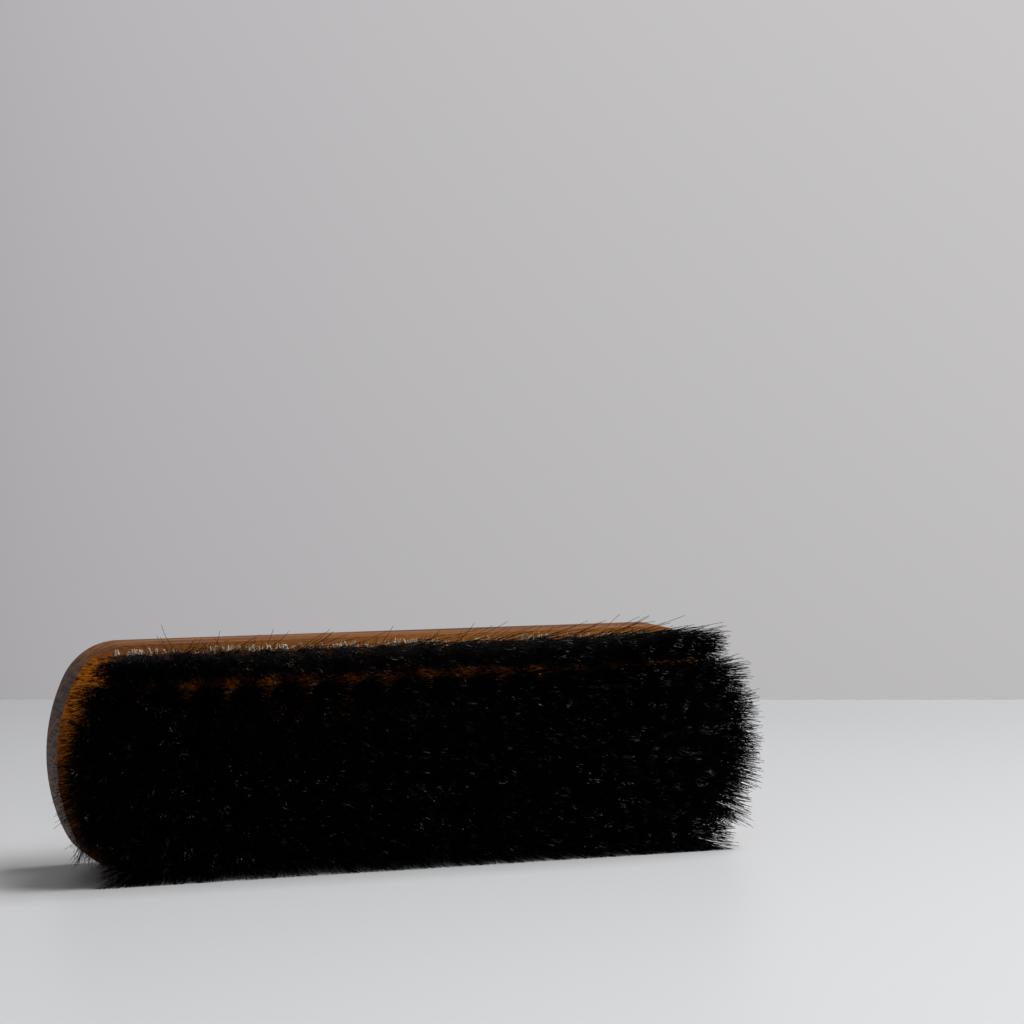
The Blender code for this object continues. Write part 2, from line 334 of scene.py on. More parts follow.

# %% [markdown]
# The wood has a dark red-brown stain under a satin lacquer. The stain took differently on each
# face, so the ground colour is picked by the way that the surface faces. The back is a mottled
# dark brown. The front is golden, with painted shade towards the side that the brush lies on,
# where the hair shades it. Along its two long edges the front is a paler tan of painted light,
# and painted shade makes that tan darker towards the left, away from the light. The narrow sides
# are an orange brown with long streaks, and the ends show end grain in grey-brown tones, whose
# grey is partly a painted reflection of the grey room.

# %% Tones of the wood
STAIN_DARK = (0.058, 0.017, 0.0040, 1.0)
STAIN_WARM = (0.200, 0.060, 0.0080, 1.0)
STAIN_LINE = (0.400, 0.125, 0.0140, 1.0)
STAIN_FLECK = (0.024, 0.008, 0.0030, 1.0)
STAIN_WORN = (0.330, 0.125, 0.0300, 1.0)
GOLD_DARK = (0.040, 0.011, 0.0015, 1.0)
GOLD_LIGHT = (0.620, 0.180, 0.0100, 1.0)
# Painted shade, multiplied into the front's gold low down, where the hair shades it.
GOLD_PAINTED_SHADE = (0.30, 0.26, 0.30, 1.0)
# Painted light and shade: the front's long edges are a paler tan where light falls on them, darker
# towards the left.
EDGE_PAINTED_SHADE = (0.200, 0.080, 0.0340, 1.0)
EDGE_PAINTED_LIGHT = (0.440, 0.180, 0.0480, 1.0)
SIDE_DARK = (0.060, 0.018, 0.0025, 1.0)
SIDE_LIGHT = (0.220, 0.072, 0.0080, 1.0)
# End grain, its grey partly a painted reflection of the grey room.
END_GRAIN_SHEEN_DARK = (0.030, 0.017, 0.0120, 1.0)
END_GRAIN_SHEEN_LIGHT = (0.140, 0.105, 0.0900, 1.0)
DUST_TONE = (0.40, 0.38, 0.35, 1.0)


def mixed(tree, share, first, second, way="MIX"):
    """A colour mixed from two others."""
    feeds = {0: share, 6: first, 7: second}
    return put(tree, "ShaderNodeMix", feeds, data_type="RGBA", blend_type=way).outputs[2]


def open_material(name):
    """A new material with a Principled shader, ready for its nodes, and the place on the object."""
    mat = bpy.data.materials.new(name)
    mat.use_nodes = True
    tree = mat.node_tree
    place = put(tree, "ShaderNodeTexCoord").outputs["Object"]
    return mat, tree, tree.nodes["Principled BSDF"], place


def group_in(tree, group, feeds):
    """A shader group placed in a material with its own values."""
    return put(tree, "ShaderNodeGroup", feeds, node_tree=group).outputs


print("tones ready")

# %% [markdown]
# Each face gets its ground colour first: the back and the front by their mottle, the sides by
# their streaks and the ends by their cells. Each ground covers the last one where the surface
# faces its way.

# %% The ground colour of each face
MOTTLE_SPAN = (0.36, 0.66)
# The band along the long edges of the front where painted light makes the wood a paler tan.
EDGE_PAINTED_LIGHT_BAND = (WIDTH / 2 - 0.0036, WIDTH / 2 - 0.0020)
EDGE_SHARE = 0.75
EDGE_SHADE_TO_LIGHT = (-0.080, 0.010)
# The heights over which painted shade darkens the front.
PAINTED_SHADE_HEIGHTS = (0.048, 0.024)
FACES_FRONT = (-0.6, -0.95)
FACES_END = (0.55, 0.9)
SIDE_STREAKS = (22.0, 520.0, 520.0)
STREAK_SPAN = (0.38, 0.60)
END_CELLS = (90.0, 90.0, 1400.0)
CELL_SPAN = (0.35, 0.68)


def golden_front(tree, place, contrast):
    """The colour of the front face."""
    spot = parts_of(tree, place)
    gold = mixed(tree, contrast, GOLD_DARK, GOLD_LIGHT)
    # Painted shade: the front gets darker towards the side that the brush lies on, where the hair
    # shades it.
    gold = mixed(tree, ramp_of(tree, spot["Z"], PAINTED_SHADE_HEIGHTS), gold, GOLD_PAINTED_SHADE, "MULTIPLY")
    # Painted light: a paler tan band along both long edges, with painted shade darkening it towards
    # the left, away from the light.
    off_middle = sum_of(tree, "ABSOLUTE", sum_of(tree, "SUBTRACT", spot["Z"], MIDDLE))
    by_edge = times(tree, ramp_of(tree, off_middle, EDGE_PAINTED_LIGHT_BAND), EDGE_SHARE)
    edge_light = mixed(tree, ramp_of(tree, spot["X"], EDGE_SHADE_TO_LIGHT), EDGE_PAINTED_SHADE, EDGE_PAINTED_LIGHT)
    return mixed(tree, by_edge, gold, edge_light)


def ground_colour(tree, place, mottle, front, facing):
    """The stained ground of all faces."""
    contrast = ramp_of(tree, mottle, MOTTLE_SPAN)
    ground = mixed(tree, contrast, STAIN_DARK, STAIN_WARM)
    ground = mixed(tree, front, ground, golden_front(tree, place, contrast))
    streak = ramp_of(tree, noise(tree, place, SIDE_STREAKS, 3.0)["Fac"], STREAK_SPAN)
    sawn = mixed(tree, streak, SIDE_DARK, SIDE_LIGHT)
    upright = sum_of(tree, "SUBTRACT", 1.0, sum_of(tree, "ABSOLUTE", facing["Y"]))
    ground = mixed(tree, upright, ground, sawn)
    # The ends' grey-brown end grain; its grey is partly a painted reflection.
    cell = ramp_of(tree, noise(tree, place, END_CELLS, 3.0)["Fac"], CELL_SPAN)
    at_end = ramp_of(tree, sum_of(tree, "ABSOLUTE", facing["X"]), FACES_END)
    return mixed(tree, at_end, ground, mixed(tree, cell, END_GRAIN_SHEEN_DARK, END_GRAIN_SHEEN_LIGHT))


print("ground colours ready")

# %% [markdown]
# The groups come on top of the ground: orange where a ring ends, darker flecks, orange again on
# the worn arrises, and dust. The lacquer is the shader's coat, the same all over, so its values
# are set on the shader itself.

# %% Material: stained beech
FLECK_AMOUNT = 0.75
WOOD_DUST = 0.10
LINE_STRENGTH_SHARE = 0.75
FLECK_SHARE = 0.7
FRONT_FLECK_CHANGE = -0.45
WORN_SHARE = 0.7
WOOD_ROUGHNESS = (0.42, 0.60)
PORE_STRENGTH = 0.35
PORE_DEPTH = 0.00006
WOOD_SPECULAR = 0.05
LACQUER = 0.02
LACQUER_ROUGHNESS = 0.30


def stained_beech():
    """Dark stained beech under satin lacquer."""
    mat, tree, shader, place = open_material("stained_beech")
    line = group_in(tree, RINGS, {"Vector": place})["Line"]
    flecks = group_in(tree, FLECKS, {"Vector": place, "Amount": FLECK_AMOUNT})
    worn = group_in(tree, ARRIS, {"Vector": place})["Worn"]
    dust = group_in(tree, DUST, {"Vector": place, "Amount": WOOD_DUST})["Dust"]
    facing = facing_of(tree)
    front = ramp_of(tree, facing["Y"], FACES_FRONT)
    tone = ground_colour(tree, place, flecks["Mottle"], front, facing)
    tone = mixed(tree, times(tree, line, LINE_STRENGTH_SHARE), tone, STAIN_LINE)
    fleck_share = sum_of(tree, "MULTIPLY_ADD", front, FRONT_FLECK_CHANGE, FLECK_SHARE)
    tone = mixed(tree, times(tree, flecks["Fleck"], fleck_share), tone, STAIN_FLECK)
    tone = mixed(tree, times(tree, worn, WORN_SHARE), tone, STAIN_WORN)
    tree.links.new(mixed(tree, dust, tone, DUST_TONE), shader.inputs["Base Color"])
    rough = ramp_of(tree, flecks["Mottle"], (0.0, 1.0), WOOD_ROUGHNESS)
    tree.links.new(rough, shader.inputs["Roughness"])
    feeds = {"Height": flecks["Height"], "Strength": PORE_STRENGTH, "Distance": PORE_DEPTH}
    tree.links.new(put(tree, "ShaderNodeBump", feeds).outputs[0], shader.inputs["Normal"])
    shader.inputs["Specular IOR Level"].default_value = WOOD_SPECULAR
    shader.inputs["Coat Weight"].default_value = LACQUER
    shader.inputs["Coat Roughness"].default_value = LACQUER_ROUGHNESS
    return mat


BEECH = stained_beech()
print("material:", BEECH.name)

# %% [markdown]
# The block's outline is two long sides and, at each end, a wide arc with a smaller arc at each
# corner. Arcs stay arcs when an outline is drawn further in, so the same function gives the
# outline at any margin. The block is then a stack of such outlines from the front to the back:
# the front edge is only just broken, and the back has its chamfer with softened edges.

# %% The block's outline
CORNER_STEPS = 18
END_STEPS = 24


def corner_centre():
    """Centre of the corner arc, which runs smoothly into the long side and the end arc."""
    across = WIDTH / 2 - CORNER_RADIUS
    along = math.sqrt((END_RADIUS - CORNER_RADIUS) ** 2 - across**2)
    return Vector((END_CENTRE + along, across))


def outline(margin):
    """The outline that lies a margin inside the block's own, as points along and across."""
    corner = corner_centre()
    end = Vector((END_CENTRE, 0.0))
    meet = math.atan2(corner.y, corner.x - end.x)
    quarter = []
    for step in range(CORNER_STEPS + 1):
        angle = math.pi / 2 + (meet - math.pi / 2) * step / CORNER_STEPS
        way = Vector((math.cos(angle), math.sin(angle)))
        quarter.append(corner + (CORNER_RADIUS - margin) * way)
    for step in range(1, END_STEPS // 2 + 1):
        angle = meet * (1 - 2 * step / END_STEPS)
        way = Vector((math.cos(angle), math.sin(angle)))
        quarter.append(end + (END_RADIUS - margin) * way)
    right = quarter + [Vector((point.x, -point.y)) for point in reversed(quarter[:-1])]
    return right + [-point for point in right]


print(len(outline(0.0)), "points round the block")

# %% [markdown]
# Each level of the stack is a margin and a depth behind the front face. Where two flats meet, a
# short run of levels on a quarter circle rounds the edge off. Neighbouring levels are joined by
# quads, and one face closes each end.

# %% The block's body
ARRIS_BREAK = 0.00022
CHAMFER_BREAK = 0.00030
BREAK_STEPS = 3


def rounded(before, edge, after, reach):
    """Levels that round off the edge between two straight runs of the block's section."""
    before, edge, after = Vector(before), Vector(edge), Vector(after)
    start = edge + (before - edge).normalized() * reach
    stop = edge + (after - edge).normalized() * reach
    levels = []
    for step in range(BREAK_STEPS + 1):
        share = step / BREAK_STEPS
        levels.append(start.lerp(edge, share).lerp(edge.lerp(stop, share), share))
    return levels


def block_section():
    """Margin and depth of every level, from the front face to the back face."""
    middle = (WIDTH / 4, 0.0)
    front = (0.0, 0.0)
    side = (0.0, THICKNESS - CHAMFER)
    back = (CHAMFER, THICKNESS)
    centre = (WIDTH / 4, THICKNESS)
    return (
        rounded(middle, front, side, ARRIS_BREAK)
        + rounded(front, side, back, CHAMFER_BREAK)
        + rounded(side, back, centre, CHAMFER_BREAK)
    )


def block_mesh():
    """The block without its holes."""
    bm = bmesh.new()
    rings = []
    for margin, depth in block_section():
        ring = [bm.verts.new((p.x, FRONT + depth, MIDDLE + p.y)) for p in outline(margin)]
        rings.append(ring)
    for ring, following in zip(rings, rings[1:]):
        count = len(ring)
        for index in range(count):
            after = (index + 1) % count
            bm.faces.new((ring[index], ring[after], following[after], following[index]))
    bm.faces.new(rings[0])
    bm.faces.new(rings[-1])
    bmesh.ops.recalc_face_normals(bm, faces=bm.faces)
    mesh = bpy.data.meshes.new("block")
    bm.to_mesh(mesh)
    bm.free()
    return mesh


block = bpy.data.objects.new("beech_block_finished", block_mesh())
bpy.context.scene.collection.objects.link(block)
print("block body:", len(block.data.polygons), "faces")

# %% [markdown]
# The tufts stand in six rows. Every second row is shifted by half a pitch, and each row holds as
# many tufts as the bowed ends leave room for. Towards the ends the hair leans out more and more,
# and each row has its own reach there. The tips of a tuft fan out into a round patch. At the two
# ends of a row and along the upper side of the top row the patch is square instead, so that the
# hair ends in a clean edge. The hair of the top row is also brushed up a little from left of the
# middle on, and more at its right end. A row is kept as a small mesh of points with three
# attributes: the lean, the fan and the shape of the patch.

# %% Where the tufts stand
ROW_COUNT = 6
TUFT_PITCH = 0.0104
SIDE_MARGIN = 0.0050
END_MARGIN = 0.0066
TIP_MARGIN = 0.0085
TIP_HEIGHT_SHARE = 0.8
LEFT_REACHES = (0.0012, 0.0024, 0.0033, 0.0037, 0.0031, -0.0006)
RIGHT_REACHES = (-0.0026, -0.0006, 0.0003, 0.0006, 0.0003, -0.0014)
SIDE_LEAN = 0.0001
LEAN_POWER = 2
ROW_FANS_ALONG = (0.0080, 0.0074, 0.0082, 0.0082, 0.0082, 0.0082)
ROW_FANS_ACROSS = (0.0038, 0.0079, 0.0085, 0.0085, 0.0085, 0.0065)
END_FAN_SHARE = 0.20
TOP_RISE = 0.0005
RISE_FROM = -0.026
RISE_RUN = 0.022
CORNER_RISE = 0.0015
CORNER_FROM = 0.048
CORNER_RUN = 0.020
ROW_PITCH = (WIDTH - 2 * SIDE_MARGIN) / (ROW_COUNT - 1)


def half_length_at(height, margin):
    """Half the length that lies a margin inside the outline, at a height from its middle."""
    corner = corner_centre()
    height = abs(height)
    end_radius = END_RADIUS - margin
    if height <= corner.y * end_radius / (END_RADIUS - CORNER_RADIUS):
        return END_CENTRE + math.sqrt(end_radius**2 - height**2)
    return corner.x + math.sqrt(max((CORNER_RADIUS - margin) ** 2 - (height - corner.y) ** 2, 0.0))


def row_places(index, height):
    """How far along the block the tufts of one row stand."""
    reach = half_length_at(height, END_MARGIN)
    if index % 2 == 0:
        half = int(reach / TUFT_PITCH + 1 / 2)
        right = [(step + 1 / 2) * TUFT_PITCH for step in range(half)]
        return [-x for x in reversed(right)] + right
    half = int(reach / TUFT_PITCH)
    return [step * TUFT_PITCH for step in range(-half, half + 1)]


def risen(x, start, run):
    """How much of a rise is reached: 0 up to the start and 1 from the end of the run."""
    return min(max((x - start) / run, 0.0), 1.0)


def row_points(index):
    """One row's tufts as an object of loose points, each with the way that its hair spreads."""
    height = (ROW_COUNT - 1 - 2 * index) / 2 * ROW_PITCH
    outermost = (ROW_COUNT - 1) / 2 * ROW_PITCH
    places = row_places(index, height)
    stretch = half_length_at(height * TIP_HEIGHT_SHARE, TIP_MARGIN) - places[-1]
    to_left = -(stretch + LEFT_REACHES[index])
    to_right = stretch + RIGHT_REACHES[index]
    rise = SIDE_LEAN * (height / outermost) ** LEAN_POWER
    mesh = bpy.data.meshes.new(f"row_{index + 1}_tufts")
    mesh.from_pydata([(x, FRONT, MIDDLE + height) for x in places], [], [])
    lean = mesh.attributes.new("lean", "FLOAT_VECTOR", "POINT")
    fan = mesh.attributes.new("fan", "FLOAT_VECTOR", "POINT")
    boxy = mesh.attributes.new("boxy", "FLOAT_VECTOR", "POINT")
    for item, spread, shape, x in zip(lean.data, fan.data, boxy.data, places):
        sideways = (to_left if x < 0 else to_right) * (x / places[-1]) ** LEAN_POWER
        brushed_up = 0.0
        if index == 0:
            brushed_up = TOP_RISE * risen(x, RISE_FROM, RISE_RUN)
            brushed_up += CORNER_RISE * risen(x, CORNER_FROM, CORNER_RUN)
        item.vector = (sideways, 0.0, rise + brushed_up)
        shape.vector = (float(abs(x) == places[-1]), 0.0, float(index == 0))
        along = ROW_FANS_ALONG[index] + END_FAN_SHARE * abs(sideways)
        spread.vector = (along, 0.0, ROW_FANS_ACROSS[index])
    points = bpy.data.objects.new(mesh.name, mesh)
    bpy.context.scene.collection.objects.link(points)
    return points


rows = [row_points(index) for index in range(ROW_COUNT)]
print("tufts per row:", [len(row.data.vertices) for row in rows])

# %% [markdown]
# Each tuft sits in a drilled hole. Drilling repeats one cutter at every point, so it is a job for
# Geometry Nodes: a cylinder is instanced on the points of all rows and taken out of the block
# with a Boolean. The tree ends by setting the material, and its result is made a plain mesh.

# %% Drill the holes
HOLE_RADIUS = 0.00225
HOLE_DEPTH = 0.0090
HOLE_SIDES = 20
OVERRUN = 0.0005
SHARP_ANGLE = math.radians(25)


def all_points(tree, collection):
    """The points of every object in a collection, as one geometry."""
    found = put(tree, "GeometryNodeCollectionInfo", {"Collection": collection}).outputs[0]
    return put(tree, "GeometryNodeRealizeInstances", {"Geometry": found}).outputs[0]


def finish_tree(tree, geometry, material, result):
    """End a tree: real geometry instead of instances, and its material."""
    solid = put(tree, "GeometryNodeRealizeInstances", {"Geometry": geometry}).outputs[0]
    feeds = {"Geometry": solid, "Material": material}
    tree.links.new(put(tree, "GeometryNodeSetMaterial", feeds).outputs[0], result)
    return tree


def drilling_tree():
    """Takes a cylinder out of the block at every tuft."""
    tree, into, out = open_tree(
        "drilled holes",
        "GeometryNodeTree",
        [
            ("Block", "NodeSocketGeometry", None),
            ("Tufts", "NodeSocketCollection", None),
            ("Radius", "NodeSocketFloat", HOLE_RADIUS),
            ("Depth", "NodeSocketFloat", HOLE_DEPTH),
            ("Finish", "NodeSocketMaterial", None),
        ],
        [("Block", "NodeSocketGeometry")],
    )
    length = sum_of(tree, "ADD", into["Depth"], OVERRUN)
    feeds = {"Vertices": HOLE_SIDES, "Radius": into["Radius"], "Depth": length}
    bit = put(tree, "GeometryNodeMeshCylinder", feeds).outputs["Mesh"]
    inward = sum_of(tree, "SUBTRACT", times(tree, length, 0.5), OVERRUN)
    feeds = {"Geometry": bit, "Translation": vector_from(tree, y=inward)}
    feeds["Rotation"] = (math.pi / 2, 0.0, 0.0)
    laid = put(tree, "GeometryNodeTransform", feeds).outputs[0]
    feeds = {"Points": all_points(tree, into["Tufts"]), "Instance": laid}
    bits = put(tree, "GeometryNodeInstanceOnPoints", feeds).outputs[0]
    solid = put(tree, "GeometryNodeRealizeInstances", {"Geometry": bits}).outputs[0]
    feeds = {0: into["Block"], 1: solid}
    cut = put(tree, "GeometryNodeMeshBoolean", feeds, operation="DIFFERENCE", solver="EXACT")
    return finish_tree(tree, cut.outputs[0], into["Finish"], out["Block"])


def give(piece, tree, values):
    """Put a tree on a piece as a modifier, with each input set through its socket's identifier."""
    modifier = piece.modifiers.new(tree.name, "NODES")
    modifier.node_group = tree
    for socket in tree.interface.items_tree:
        if socket.in_out == "INPUT" and socket.name in values:
            modifier[socket.identifier] = values[socket.name]


def settle(piece, sharp_angle):
    """Make what the modifiers show the piece's own plain mesh, smooth but for its sharp edges."""
    graph = bpy.context.evaluated_depsgraph_get()
    mesh = bpy.data.meshes.new_from_object(piece.evaluated_get(graph))
    mesh.name = piece.name
    piece.modifiers.clear()
    piece.data = mesh
    mesh.shade_smooth()
    if sharp_angle:
        mesh.set_sharp_from_angle(angle=sharp_angle)


tuft_points = bpy.data.collections.new("tuft_points")
for row in rows:
    tuft_points.objects.link(row)
give(block, drilling_tree(), {"Tufts": tuft_points, "Finish": BEECH})
settle(block, SHARP_ANGLE)
print("drilled block:", len(block.data.polygons), "faces")

# %% [markdown]
# The hair needs a dark material that still shows single hairs. Each hair carries two values that
# the tree below stores on it: its own tone, and how far along it a point is. Most hairs are near
# black and some are very dark brown. A few have short grey stretches in their outer half, which
# are painted glints of light on the hair, and there are more of them towards the right end,
# nearer the light. The gloss varies from hair to hair.

# %% Material: horsehair
HAIR_BLACK = (0.0015, 0.0013, 0.0013, 1.0)
HAIR_BROWN = (0.0100, 0.0090, 0.0085, 1.0)
# Painted glints: short grey stretches on a few hairs stand for light caught on them.
HAIR_PAINTED_GLINT = (0.3400, 0.3300, 0.3100, 1.0)
HAIR_DUST = 0.02
BROWN_POWER = 5.0
MORE_GLINTS_FROM_TO = (0.01, 0.08)
MORE_GLINTS_BY = (0.0, 0.07)
GLINT_TONES = (0.80, 0.92)
GLINT_STRETCHES = 330.0
GLINT_STRETCH_SPAN = (0.60, 0.70)
GLINT_OUTER_SHARES = (0.55, 0.9)
HAIR_ROUGHNESS = (0.58, 0.40)
HAIR_SPECULAR = 0.02


def horsehair():
    """Black horsehair with a faint gloss."""
    mat, tree, shader, place = open_material("black_horsehair")
    tone = put(tree, "ShaderNodeAttribute", attribute_name="tone").outputs["Fac"]
    along = put(tree, "ShaderNodeAttribute", attribute_name="along").outputs["Fac"]
    dust = group_in(tree, DUST, {"Vector": place, "Amount": HAIR_DUST})["Dust"]
    brown = mixed(tree, sum_of(tree, "POWER", tone, BROWN_POWER), HAIR_BLACK, HAIR_BROWN)
    # Painted glints: a few hairs get short grey stretches in their outer half, more towards the
    # right end, nearer the light.
    more_glints = ramp_of(tree, parts_of(tree, place)["X"], MORE_GLINTS_FROM_TO, MORE_GLINTS_BY)
    glinting_hairs = ramp_of(tree, sum_of(tree, "ADD", tone, more_glints), GLINT_TONES)
    short = ramp_of(tree, noise(tree, place, GLINT_STRETCHES, 0.0)["Fac"], GLINT_STRETCH_SPAN)
    grey = times(tree, times(tree, glinting_hairs, short), ramp_of(tree, along, GLINT_OUTER_SHARES))
    glinted = mixed(tree, grey, brown, HAIR_PAINTED_GLINT)
    tree.links.new(mixed(tree, dust, glinted, DUST_TONE), shader.inputs["Base Color"])
    gloss = ramp_of(tree, tone, (0.0, 1.0), HAIR_ROUGHNESS)
    tree.links.new(gloss, shader.inputs["Roughness"])
    shader.inputs["Specular IOR Level"].default_value = HAIR_SPECULAR
    return mat


HAIR = horsehair()
print("material:", HAIR.name)

# %% [markdown]
# The trees that follow use random numbers. Each draw is told apart by a number that is added to
# the tree's seed, so that the result is the same on every run. Values that a later step needs are
# stored on the points under a name.

# %% Helpers for random draws and stored values
def chance(tree, seed, number, low_end=0.0, high_end=1.0, who=None):
    """A random number for each element, or for each value of who."""
    node = put(tree, "FunctionNodeRandomValue", {2: low_end, 3: high_end}, data_type="FLOAT")
    if who is not None:
        tree.links.new(who, node.inputs["ID"])
    tree.links.new(sum_of(tree, "ADD", seed, float(number)), node.inputs["Seed"])
    return node.outputs[1]


def on_disc(tree, seed, number, who=None):
    """A random place on a flat disc of radius 1 that faces along Y."""
    turn = chance(tree, seed, number, 0.0, 2 * math.pi, who)
    out = sum_of(tree, "SQRT", chance(tree, seed, number + 1, 0.0, 1.0, who))
    across = times(tree, out, sum_of(tree, "COSINE", turn))
    return vector_from(tree, x=across, z=times(tree, out, sum_of(tree, "SINE", turn)))


def keep(tree, geometry, name, kind, value):
    """Store a value on every point under a name."""
    feeds = {"Geometry": geometry, "Name": name, "Value": value}
    node = put(tree, "GeometryNodeStoreNamedAttribute", feeds, data_type=kind, domain="POINT")
    return node.outputs[0]


def recall(tree, name, kind="FLOAT_VECTOR"):
    """A value that was stored under a name."""
    return put(tree, "GeometryNodeInputNamedAttribute", {"Name": name}, data_type=kind).outputs[0]


def between(tree, share, first, second):
    """The point that lies a share of the way from one point to another."""
    feeds = {0: share, 4: first, 5: second}
    return put(tree, "ShaderNodeMix", feeds, data_type="VECTOR").outputs[1]


def copied(tree, points, amount):
    """Every point, so many times over."""
    feeds = {"Geometry": points, "Amount": amount}
    return put(tree, "GeometryNodeDuplicateElements", feeds, domain="POINT").outputs[0]


print("draws ready")

# %% [markdown]
# The bristles are made in one tree. It copies each tuft's point once for every hair, and more
# often near the ends of the block. Each copy gets a random place in the hole. From there the tree
# works out three points of the hair: its root down in the hole, its tip, and one in between that
# bends it a little. The tips spread wider than the hole, in some loose locks. Every tip strays a
# little, some escape well outside the rest, mostly upwards in the top row, and a few are cut
# short.

# %% Where a hair ends
ROOT_DEPTH = 0.0020
FULL_END = 0.080
FULL_POWER = 4.0
WILD_POWER = 11.0
WILD_REACH = 3.0
SHORT_POWER = 5.0
SHORT_SHARE = -0.22


def hair_amount(tree, into, place):
    """How many hairs a tuft gets."""
    off_middle = sum_of(tree, "ABSOLUTE", parts_of(tree, place)["X"])
    near_end = sum_of(tree, "POWER", sum_of(tree, "DIVIDE", off_middle, FULL_END), FULL_POWER)
    fuller = sum_of(tree, "MULTIPLY_ADD", near_end, into["More at ends"], 1.0)
    return times(tree, into["Hairs per tuft"], fuller)


def fanned(tree, spot, which):
    """How far a hair's tip is from its tuft's middle, from its place in the hole."""
    parts = parts_of(tree, spot)
    biggest = sum_of(
        tree, "MAXIMUM", sum_of(tree, "ABSOLUTE", parts["X"]), sum_of(tree, "ABSOLUTE", parts["Z"])
    )
    stretch = sum_of(tree, "SUBTRACT", sum_of(tree, "DIVIDE", length_of(tree, spot), biggest), 1.0)
    upper = times(tree, which["Z"], sum_of(tree, "GREATER_THAN", parts["Z"], 0.0))
    squared = times(tree, stretch, sum_of(tree, "MAXIMUM", which["X"], upper))
    shaped = vector_of(tree, "SCALE", spot, sum_of(tree, "ADD", squared, 1.0))
    return vector_of(tree, "MULTIPLY", shaped, recall(tree, "fan"))


def strayed(tree, into, seed, which):
    """How far a hair's tip strays from where the fan puts it."""
    wild = times(tree, sum_of(tree, "POWER", chance(tree, seed, 40), WILD_POWER), WILD_REACH)
    reach = times(tree, into["Stray"], sum_of(tree, "ADD", wild, 1.0))
    escaped_share = times(tree, into["Escaped share"], sum_of(tree, "SUBTRACT", 1.0, which["X"]))
    escaped = sum_of(tree, "LESS_THAN", chance(tree, seed, 45), escaped_share)
    reach = sum_of(tree, "MULTIPLY_ADD", escaped, into["Escape reach"], reach)
    stray = vector_of(tree, "SCALE", on_disc(tree, seed, 50), reach)
    lift = times(tree, times(tree, escaped, which["Z"]), into["Escape lift"])
    lift = times(tree, lift, chance(tree, seed, 55))
    return vector_of(tree, "ADD", stray, vector_from(tree, z=lift))


def hair_tip(tree, into, seed, place, spot):
    """Where a hair ends."""
    which = parts_of(tree, recall(tree, "boxy"))
    lock = sum_of(tree, "FLOOR", times(tree, chance(tree, seed, 20), into["Locks"]))
    lock = sum_of(tree, "MULTIPLY_ADD", recall(tree, "tuft", "INT"), into["Locks"], lock)
    pull = vector_of(tree, "SCALE", on_disc(tree, seed, 30, lock), into["Lock spread"])
    spread = vector_of(tree, "ADD", fanned(tree, spot, which), pull)
    spread = vector_of(tree, "ADD", spread, strayed(tree, into, seed, which))
    leaning = vector_of(tree, "ADD", spread, recall(tree, "lean"))
    short = sum_of(tree, "POWER", chance(tree, seed, 60), SHORT_POWER)
    cut_back = sum_of(tree, "MULTIPLY_ADD", short, SHORT_SHARE, 1.0)
    outward = times(tree, times(tree, into["Length"], cut_back), -1.0)
    sideways = vector_of(tree, "SCALE", leaning, cut_back)
    return vector_of(
        tree, "ADD", vector_of(tree, "ADD", place, sideways), vector_from(tree, y=outward)
    )


print("hair ends ready")

# %% [markdown]
# A short curve is then put on every copy, bent to follow the three points and curled a little. It
# becomes a tube that gets thinner towards its tip. No hair goes through the surface that the
# brush lies on.

# %% Tree: bristles
HAIR_POINTS = 4
HAIR_SIDES = 3
CURL_POWER = 3.0
CURL_BACK = 0.5
CLEARANCE = 1.5
TAPER_SHARE = -0.35


def hair_course(tree, into, share):
    """Where a point of a hair lies, from how far along the hair it is."""
    halfway = recall(tree, "halfway")
    first = between(tree, share, recall(tree, "root"), halfway)
    second = between(tree, share, halfway, recall(tree, "tip"))
    late = sum_of(tree, "POWER", share, CURL_POWER)
    curl = sum_of(tree, "SUBTRACT", late, times(tree, share, CURL_BACK))
    curled = vector_of(tree, "SCALE", recall(tree, "hook"), curl)
    bent = parts_of(tree, vector_of(tree, "ADD", between(tree, share, first, second), curled))
    clear = sum_of(tree, "MAXIMUM", bent["Z"], times(tree, into["Hair radius"], CLEARANCE))
    return vector_from(tree, bent["X"], bent["Y"], clear)


